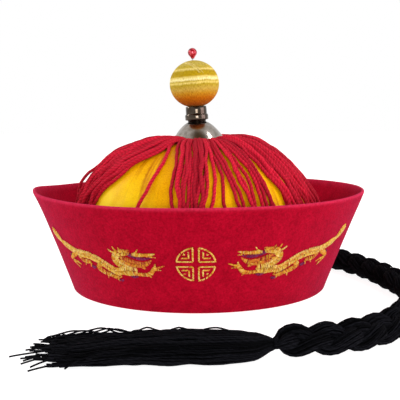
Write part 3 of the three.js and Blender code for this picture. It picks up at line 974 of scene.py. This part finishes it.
def build_fringe():
    arcs = FRINGE_ARCS
    radius, _ = crown_at(arcs, 0)
    yarns = fringe_yarns(radius)
    pieces = {quarter: Tubes() for quarter in ("left", "front", "right", "back")}
    bridge = smoothstep(arcs, 45, 85) * (1 - smoothstep(arcs, 118, 140))
    under_cap = smoothstep(arcs, 15, 25)
    for height, (bearing, lift, off, _) in zip(piled_heights(yarns, radius), yarns):
        height = smoothed(height, 5) + lift * bridge + off * hill(arcs, LOOSE_ARC, LOOSE_WIDTH)
        height = height + waver(arcs, 0.15, 14)
        for middle, width, arc, length, most in FLARES:
            height = height + most * bump(bearing, middle, width) * hill(arcs, arc, length)
        height = np.minimum(height, CAP_CLEAR) * (1 - under_cap) + height * under_cap
        height = np.maximum(height, LOWEST_YARN)
        count = np.searchsorted(arcs, FRINGE_END + UNEVEN * rng.random())
        r, z = crown_at(arcs[:count], height[:count])
        b = np.radians(bearing[:count])
        slope = np.interp(arcs[:count], CROWN_ARC, CROWN_NORMAL[:, 0])
        up = around(slope, b, np.sqrt(1 - slope**2))
        quarter = QUARTERS[int((bearing[len(arcs) // 2] + TURN / 8) % TURN / (TURN / 4))]
        pieces[quarter].add(around(r, b, z), up, RED_YARN, sides=7, shade=rng.random(), twist=2.7)
    return pieces


for quarter, tubes in build_fringe().items():
    piece(f"yarn_fringe_{quarter}", tubes, RED_YARN_LOOK, ["yarn_fringe"])

# Finial
FINIAL_TURN = np.array(Matrix.Rotation(-FINIAL_LEAN, 3, "Y"))


def seated(places):
    """Places along the finial's axis, where they are on the hat."""
    return places @ FINIAL_TURN.T + (0, 0, FINIAL_FOOT)


def build_cap():
    flank = bezier((19.6, 2.6), (13.9, 12.0), (8.0, 15.2), 18)
    inner = bezier((18.7, 2.6), (13.1, 11.2), (8.2, 14.1), 10)
    outline = [
        (19.3, 2.2), (19.75, 2.45), *flank, (7.5, 15.35), (7.2, 15.5), (7.1, 15.65), (7.0, 15.7),
        (PIN_BORE, 15.7), (PIN_BORE, 14.8), (6.5, 14.8), *inner[::-1],
    ]
    return revolved(outline, METAL_COLUMNS, seat=seated)


def build_collar():
    foot, flange, tube, wall = 16.05, 8.85, 8.0, 1.3
    outline = [
        (6.9, foot - 0.33), (7.0, 16.4), (7.15, 16.9), (7.7, 17.05), (8.4, 17.15), (8.75, 17.4),
        (flange, 17.8), (8.8, 19), (flange, 20.3), (8.75, 20.9), (8.45, 21.3), (8.15, 21.5), (8.05, 21.8),
        (tube, 22.3), (tube, 25), (7.85, 27.1), (7.6, 27.4), (tube - wall, 27.3), (tube - wall, foot + wall),
        (PIN_BORE, foot + wall), (PIN_BORE, foot - 0.33),
    ]
    return revolved(outline, METAL_COLUMNS, seat=seated)


def build_ball():
    start = math.asin(PIN_BORE / BALL_RADIUS)
    angles = np.linspace(start, math.pi - start, 48)
    outline = [(BALL_RADIUS * math.sin(a), BALL_MIDDLE - BALL_HALF_HEIGHT * math.cos(a)) for a in angles]

    def wind(radius, height, bearing, row):
        share = radius / BALL_RADIUS
        thread = np.abs(np.sin(np.radians(bearing) * BALL_THREADS / 2))
        depth = 0.16 * (1 - thread) * smoothstep(share, 0.1, 0.5)
        layer = 0.1 * np.sin(np.radians(bearing) * 11 + 1) * share
        return radius - depth + layer - 0.1, height

    return revolved(outline, BALL_THREADS * 4, wind, seated)


def build_ball_threads():
    """A few threads that cross the others near the top of the ball."""
    tubes = Tubes()
    start, end = unit(np.array([CROSSING_FROM, CROSSING_TO]))
    pole = unit(np.cross(start, end))
    on = np.cross(pole, start)
    sizes = np.array([BALL_RADIUS, BALL_RADIUS, BALL_HALF_HEIGHT]) - CROSSING_SINK
    for k in range(CROSSING_THREADS):
        beside = k - (CROSSING_THREADS - 1) / 2
        t = np.linspace(-0.32 + 0.2 * rng.random(), 0.7 + 0.3 * rng.random(), 24)[:, None]
        place = unit(start * np.cos(t) + on * np.sin(t) + pole * (0.022 * beside + 0.05 * t * beside / 2))
        line = seated(place * sizes + (0, 0, BALL_MIDDLE))
        tubes.add(line, place @ FINIAL_TURN.T, CROSSING_RADIUS, sides=5, shade=0.3 + 0.6 * rng.random())
    return tubes


def build_bead():
    angles = np.linspace(math.radians(-35), math.radians(89), 22)
    skirt = catmull([(PIN_BORE + 0.1, 63.3), (1.5, 64.2), (2.3, 65.2)], 4)
    round_part = [(BEAD_RADIUS * math.cos(a), BEAD_MIDDLE + BEAD_RADIUS * math.sin(a)) for a in angles]
    outline = [(0.05, 66), (PIN_BORE, 66), (PIN_BORE, 63.3), *skirt, *round_part]
    return revolved(outline, BEAD_COLUMNS, seat=seated, closed=False)


def build_pin():
    tubes = Tubes()
    bends = [(0, 0, -7.2), (0, 0, 30), (-0.2, 0, 60.5), (-0.25, 0, 62.2), (0, 0, 64), (0, 0, 65.5)]
    tubes.add(seated(catmull(bends, 12)), (0, 1, 0), PIN_WIRE, sides=12)
    head = np.array([(0, 0, -8.1), (0, 0, -8.0), (0, 0, -7.3), (0, 0, -7.1)])
    tubes.add(seated(head), (0, 1, 0), [4.6, 5, 5, 4.6], sides=32)
    return tubes


piece("cap_metal", build_cap(), CAP_LOOK, ["cap"])
piece("collar_metal", build_collar(), COLLAR_LOOK, ["collar"])
piece("finial_ball_silk", build_ball(), SILK_LOOK, ["finial_ball"])
piece("finial_ball_threads", build_ball_threads(), THREAD_LOOK)
piece("pin_bead_red", build_bead(), BEAD_LOOK, ["pin_bead"])
piece("pin_wire", build_pin(), WIRE_LOOK, ["pin_shank"])

# Embroidery on the front of the brim, as widths across and heights up its slope from the middle of the front
STITCH = 0.24
STITCH_PITCH = 0.38
STITCH_LIFT = 0.12
# Bands wider than this have two rows of stitches
WIDE_BAND = 3.2
# Share of the stitches that are left out, so that the felt shows between the others
GAPS = 0.12
MIDDLE = -2.0
# The end of a dragon's tail, from which it is stretched, and the height towards which it is squeezed
TAIL_END = 118.0
DRAGON_PULL = 0.03
DRAGON_UP = 45.0
DRAGON_SQUEEZE = 0.05


def on_brim(across, up, lift):
    """Places on the outside of the brim, and its outward direction there."""
    bearing = np.asarray(across, float) / BRIM_MEAN
    z = np.asarray(up, float) * BRIM_HEIGHT / BRIM_SLOPE
    out_r, out_z = BRIM_HEIGHT / BRIM_SLOPE, -(BRIM_RIM - BRIM_FOOT) / BRIM_SLOPE
    sway, up_by = brim_sway(np.degrees(bearing), z)
    radius = brim_radius(z) + sway + out_r * lift
    place = around(radius, bearing, z + up_by + out_z * lift)
    return place, around(out_r, bearing, np.full_like(z, out_z))


def satin_stitch(tubes, points, side=1, scale=1.0, slant=0.5, shade=0.5, puff=0.7, pull=0.0, squeeze=0.0,
                 raised=0.0):
    """Threads laid side by side across a band, whose points are across, up and width."""
    line = catmull(points, 12)
    length = arc_of(line[:, :2])[-1]
    count = max(3, int(length / STITCH_PITCH))
    line = resample(line, count)
    way = heading(line[:, :2])
    cross = np.stack([-way[:, 1], way[:, 0]], 1)
    line[:, 0] -= pull * (TAIL_END - line[:, 0])
    line[:, 1] += squeeze * (DRAGON_UP - line[:, 1]) + raised
    t = np.linspace(-0.5, 0.5, 5)
    for (x, y, width), c, w in zip(line, cross, way):
        rows = (-0.25, 0.25) if width > WIDE_BAND else (0.0,)
        for row in rows:
            if rng.random() < GAPS:
                continue
            reach = max(width, 0.5) / len(rows) * (1.04 + 0.05 * rng.standard_normal())
            lean = (slant if row >= 0 else -slant) + 0.07 * rng.standard_normal()
            flat = np.array([x, y]) + c * row * width + np.outer(t * reach, c + lean * w)
            lift = STITCH_LIFT + puff * (1 - (2 * t) ** 2) * min(1.0, reach / 3)
            place, out = on_brim(MIDDLE + side * flat[:, 0] * scale, flat[:, 1], lift)
            tone = np.clip(shade + 0.2 * rng.standard_normal() + 0.4 * row, 0, 1)
            tubes.add(place, out, STITCH, sides=4, shade=tone)


# One dragon: bands, each with a shade from orange, 0, to pale gold, 1, and then across, up and width
DRAGON_GOLD = [
    (0.75, (118.6, 53.6, 3.8), (116.4, 51.4, 6.2), (113.6, 48.8, 6), (111, 46.6, 4), (108.6, 45, 2.6),
     (105.6, 43.8, 4.2), (102, 42.6, 4.8), (98, 41.2, 4.6), (92, 39.4, 4.8)),
    (0.55, (93, 39.2, 3.6), (88, 38.4, 4.4), (80, 38.2, 4.9), (73, 36.6, 5), (68, 34.2, 5),
     (63.5, 31.4, 5.2), (59, 29.2, 5.6), (54.5, 28.2, 6.2)),
    (0.72, (41.6, 30.4, 1), (42.8, 30.4, 5), (45.2, 30.3, 7), (48.4, 30.2, 7.6), (51.5, 29.9, 6.6),
     (54.5, 29.2, 5.4), (57.5, 28.8, 5)),
    (0.66, (47.5, 32.6, 4), (51, 34.2, 5.2), (54.4, 35.8, 5.6), (56.4, 38.4, 5), (56, 40.8, 4.8),
     (54, 42.4, 4.4)),
    (0.55, (56, 42.6, 3.2), (52.6, 44, 4.8), (48.6, 44.6, 4.6), (45.6, 44.2, 3)),
    (0.75, (55, 43.6, 1.6), (58, 44.4, 1.2), (60.4, 46.2, 0.5)),
    (0.6, (53.6, 45, 1.5), (55.4, 46.2, 1.1), (56.4, 48.4, 0.5)),
    (0.4, (50.6, 45.6, 1.6), (51.6, 46.6, 1.1), (52.4, 48, 0.5)),
    (0.3, (49, 45.6, 1.4), (46.6, 46.6, 1), (44.8, 46.8, 0.5)),
    (0.7, (42.6, 43.8, 1.5), (40.6, 45.4, 1.1), (39.2, 47.6, 0.5)),
    (0.6, (43.4, 43.6, 2.2), (40, 43.4, 2.8), (36, 43.6, 2.2), (32, 44.2, 1.9), (28.4, 44.9, 0.6)),
    (0.35, (34, 43, 1.4), (31, 42.8, 1.4), (28.2, 42.2, 0.5)),
    (0.25, (52.5, 39.4, 5), (48.5, 37.6, 6.2), (44.5, 36.6, 5.6), (40.4, 36, 4.8), (36.6, 36.2, 3.8),
     (33.4, 37.6, 2.4), (30.8, 40.2, 0.7)),
    (0.3, (43, 34.6, 1.8), (42.2, 33.4, 1.3), (42, 32.4, 0.5)),
    (0.35, (38.4, 34.8, 2.2), (36.6, 33.4, 1.7), (35.2, 33.2, 0.5)),
    (0.45, (46, 28.4, 2), (41, 28, 2.3), (36, 28.1, 2.5), (33, 29, 3), (31, 31.6, 2.6), (29.4, 34, 2.4)),
    (0.6, (29.8, 33.8, 1.5), (29.2, 35.2, 1.1), (29, 37, 0.5)),
    (0.5, (29.4, 33.6, 1.6), (26.4, 34.6, 1.2), (23.2, 35.8, 0.5)),
    (0.5, (30, 32.4, 1.4), (27.6, 32.6, 1), (25.4, 32.2, 0.5)),
    (0.4, (34, 28.4, 1.4), (33.2, 27.2, 1), (32.6, 26.2, 0.5)),
    (0.45, (69.6, 33.2, 3.6), (72.4, 30, 3.8), (69.6, 27.4, 3.6), (64, 25.6, 3), (58.8, 23.8, 2.8)),
    (0.5, (59.4, 24, 1.6), (57.6, 22.6, 1.2), (57, 21.2, 0.5)),
    (0.5, (59, 24.4, 1.4), (56.6, 24, 1), (54.8, 24.6, 0.5)),
    (0.55, (65, 25.2, 1.5), (65.8, 23.8, 1.1), (66.2, 22.4, 0.5)),
    (0.45, (93.5, 37.8, 3), (98, 35.6, 3.4), (101.4, 33.2, 2.6), (99.6, 30.6, 2.2), (96.4, 28, 1.4),
     (94.6, 26.2, 0.5)),
    (0.5, (99, 31.4, 1.6), (95, 30.8, 1.2), (91.8, 29.4, 0.5)),
    (0.4, (90, 36.6, 2.6), (87.2, 33.6, 2.6), (83, 33.2, 3), (79.4, 32.6, 1.8), (80.4, 29.2, 0.5)),
    (0.45, (84.4, 33, 1.4), (84.8, 31.4, 1), (85.6, 30, 0.5)),
]
DRAGON_ACCENT = [
    (0.3, (46, 42.6, 1.4), (41.4, 41.4, 2.2), (36.4, 40.6, 2), (31.4, 41.9, 1.1)),
    (0.4, (46.4, 43.4, 2.2), (44, 43, 2.2)),
    (0.5, (90.2, 38.4, 1.2), (89.4, 36, 1.9), (88.2, 34, 1.4)),
    (0.3, (79.4, 30.2, 1.4), (77.4, 29.4, 2.4), (75.6, 29.8, 1.4)),
    (0.2, (64.4, 30.2, 1.1), (62, 27.8, 1.4), (60.4, 26.2, 0.9)),
    # This dark purple mark fills a gap of the embroidery and paints the shade on the felt there.
    (0.2, (58, 36, 0.9), (55, 34, 1.4), (52.6, 32.8, 0.9)),
    (0.4, (47, 26.2, 1.4), (44.4, 25.8, 2), (42, 26.4, 1.2)),
    (0.4, (57, 21.8, 1.1), (55, 21.6, 1.8), (53.6, 22.4, 1.1)),
    (0.4, (101.6, 36.6, 1.1), (100.4, 35.4, 1.6)),
    (0.1, (54.6, 42.2, 1.2), (53, 41.8, 1.2)),
]
# The dorsal fin: short spikes along the back, by a line of across and up
DRAGON_BACK = [(94, 41.4), (86, 41.2), (78, 40.6), (71, 38.8), (66, 36.2), (61.5, 33.4), (58, 31.4)]
DRAGON_SPIKES = 22
# The two dragons: side of the front, stretch along it, and how much higher up
DRAGONS = {"left": (-1, 1.0, 0.0), "right": (1, 1.01, 1.8)}


def build_dragon(side, scale, raised):
    gold, accent = Tubes(), Tubes()
    place = {"side": side, "scale": scale, "pull": DRAGON_PULL, "squeeze": DRAGON_SQUEEZE, "raised": raised}
    for k, (shade, *points) in enumerate(DRAGON_GOLD):
        slant = 0.3 if k % 2 else -0.25
        satin_stitch(gold, points, slant=slant, shade=shade, puff=0.45 + 0.12 * (k % 3), **place)
    for shade, *points in DRAGON_ACCENT:
        satin_stitch(accent, points, slant=0.2, shade=shade, puff=0.5, **place)
    for x, y in resample(catmull(DRAGON_BACK), DRAGON_SPIKES):
        spike = [(x, y - 1.8, 1.6), (x + 0.5, y - 0.4, 1.2), (x + 1.2, y + 0.7, 0.5)]
        satin_stitch(gold, spike, shade=1.0, puff=1.0, **place)
    return gold, accent


# Roundel: a fret ring, the same in all four quarters
ROUNDEL_UP = 38.0
ROUNDEL_RADIUS = 12.3
ROPE = 0.9
FRET = [
    [(11.8, 1.9), (1.9, 1.9), (1.9, 11.8)],
    [(8.8, 4.5), (4.5, 4.5), (4.5, 8.8)],
    [(7.6, 7.1), (7.1, 7.1), (7.1, 7.6)],
]


def build_roundel():
    tubes = Tubes()
    angles = np.radians(np.linspace(9, 81, 14))
    ring = ROUNDEL_RADIUS * np.stack([np.cos(angles), np.sin(angles)], 1)
    for across, up in ((1, 1), (1, -1), (-1, 1), (-1, -1)):
        for path in (ring, *FRET):
            band = [(x * across, ROUNDEL_UP + y * up, ROPE) for x, y in resample(np.array(path), 16)]
            satin_stitch(tubes, band, slant=0.9, shade=0.7, puff=0.5)
    return tubes


for name, (side, scale, raised) in DRAGONS.items():
    gold, accent = build_dragon(side, scale, raised)
    piece(f"dragon_gold_{name}", gold, GOLD_LOOK)
    piece(f"dragon_purple_{name}", accent, ACCENT_LOOK)
piece("roundel_gold", build_roundel(), GOLD_LOOK)


# Floor and light
def build_floor():
    half = 6.0
    corners = [(-half, -half, 0), (half, -half, 0), (half, half, 0), (-half, half, 0)]
    mesh = bpy.data.meshes.new("floor")
    mesh.from_pydata(corners, [], [(0, 1, 2, 3)])
    look = Look("pale_floor", Roughness=0.9, Emission_Color=WHITE, Emission_Strength=0.92)
    cloud = look.noise(look.place(), 3, 2)
    look.set(Base_Color=look.ramp(cloud, (0.0, (0.34, 0.34, 0.34)), (1.0, (0.38, 0.38, 0.38))))
    mesh.materials.append(look.material)
    floor = show("floor", mesh)


def area_light(name, place, aim, width, height, power, colour=WHITE):
    data = bpy.data.lights.new(name, "AREA")
    data.shape = "RECTANGLE"
    data.size = width
    data.size_y = height
    data.energy = power
    data.color = colour
    turn = (Vector(aim) - Vector(place)).to_track_quat("-Z", "Y")
    show(name, data).matrix_world = Matrix.Translation(place) @ turn.to_matrix().to_4x4()


# Where the room is dim, as a direction, and its colour by how near that is
DIM_WAY = (0, -0.6, 0.8)
DIM_STOPS = ((0.8, WHITE), (0.94, (0.18, 0.115, 0.06)))


def build_world():
    """White all round, and dim high up in front as in a room."""
    world = bpy.data.worlds.new("world")
    world.use_nodes = True
    bpy.context.scene.world = world
    sky = Nodes(world.node_tree)
    front = sky.node("VectorMath")
    front.operation = "DOT_PRODUCT"
    sky.feed(front.inputs[0], sky.node("TexCoord").outputs["Generated"])
    sky.feed(front.inputs[1], DIM_WAY)
    colour = sky.ramp(front.outputs["Value"], *DIM_STOPS)
    sky.feed(sky.tree.nodes["Background"].inputs["Color"], colour)


build_floor()
build_world()
# What the lights are aimed at, in metres
HAT = (0.0, 0.0, 0.08)
COLLAR = (0.0, 0.0, 0.13)
area_light("right_light", (0.9, -0.15, 1.35), HAT, 0.16, 0.32, 4, (1.0, 0.97, 0.99))
area_light("side_light", (1.5, -0.5, 0.35), HAT, 1.2, 1.0, 14, (1.0, 0.86, 1.0))
area_light("left_light", (-1.25, 0.3, 0.75), HAT, 0.4, 0.4, 7)
area_light("strip_light", (0.1, -1.5, 0.2), COLLAR, 0.6, 0.24, 8.4, (0.95, 0.98, 1.0))
bpy.context.scene.view_settings.view_transform = "Standard"
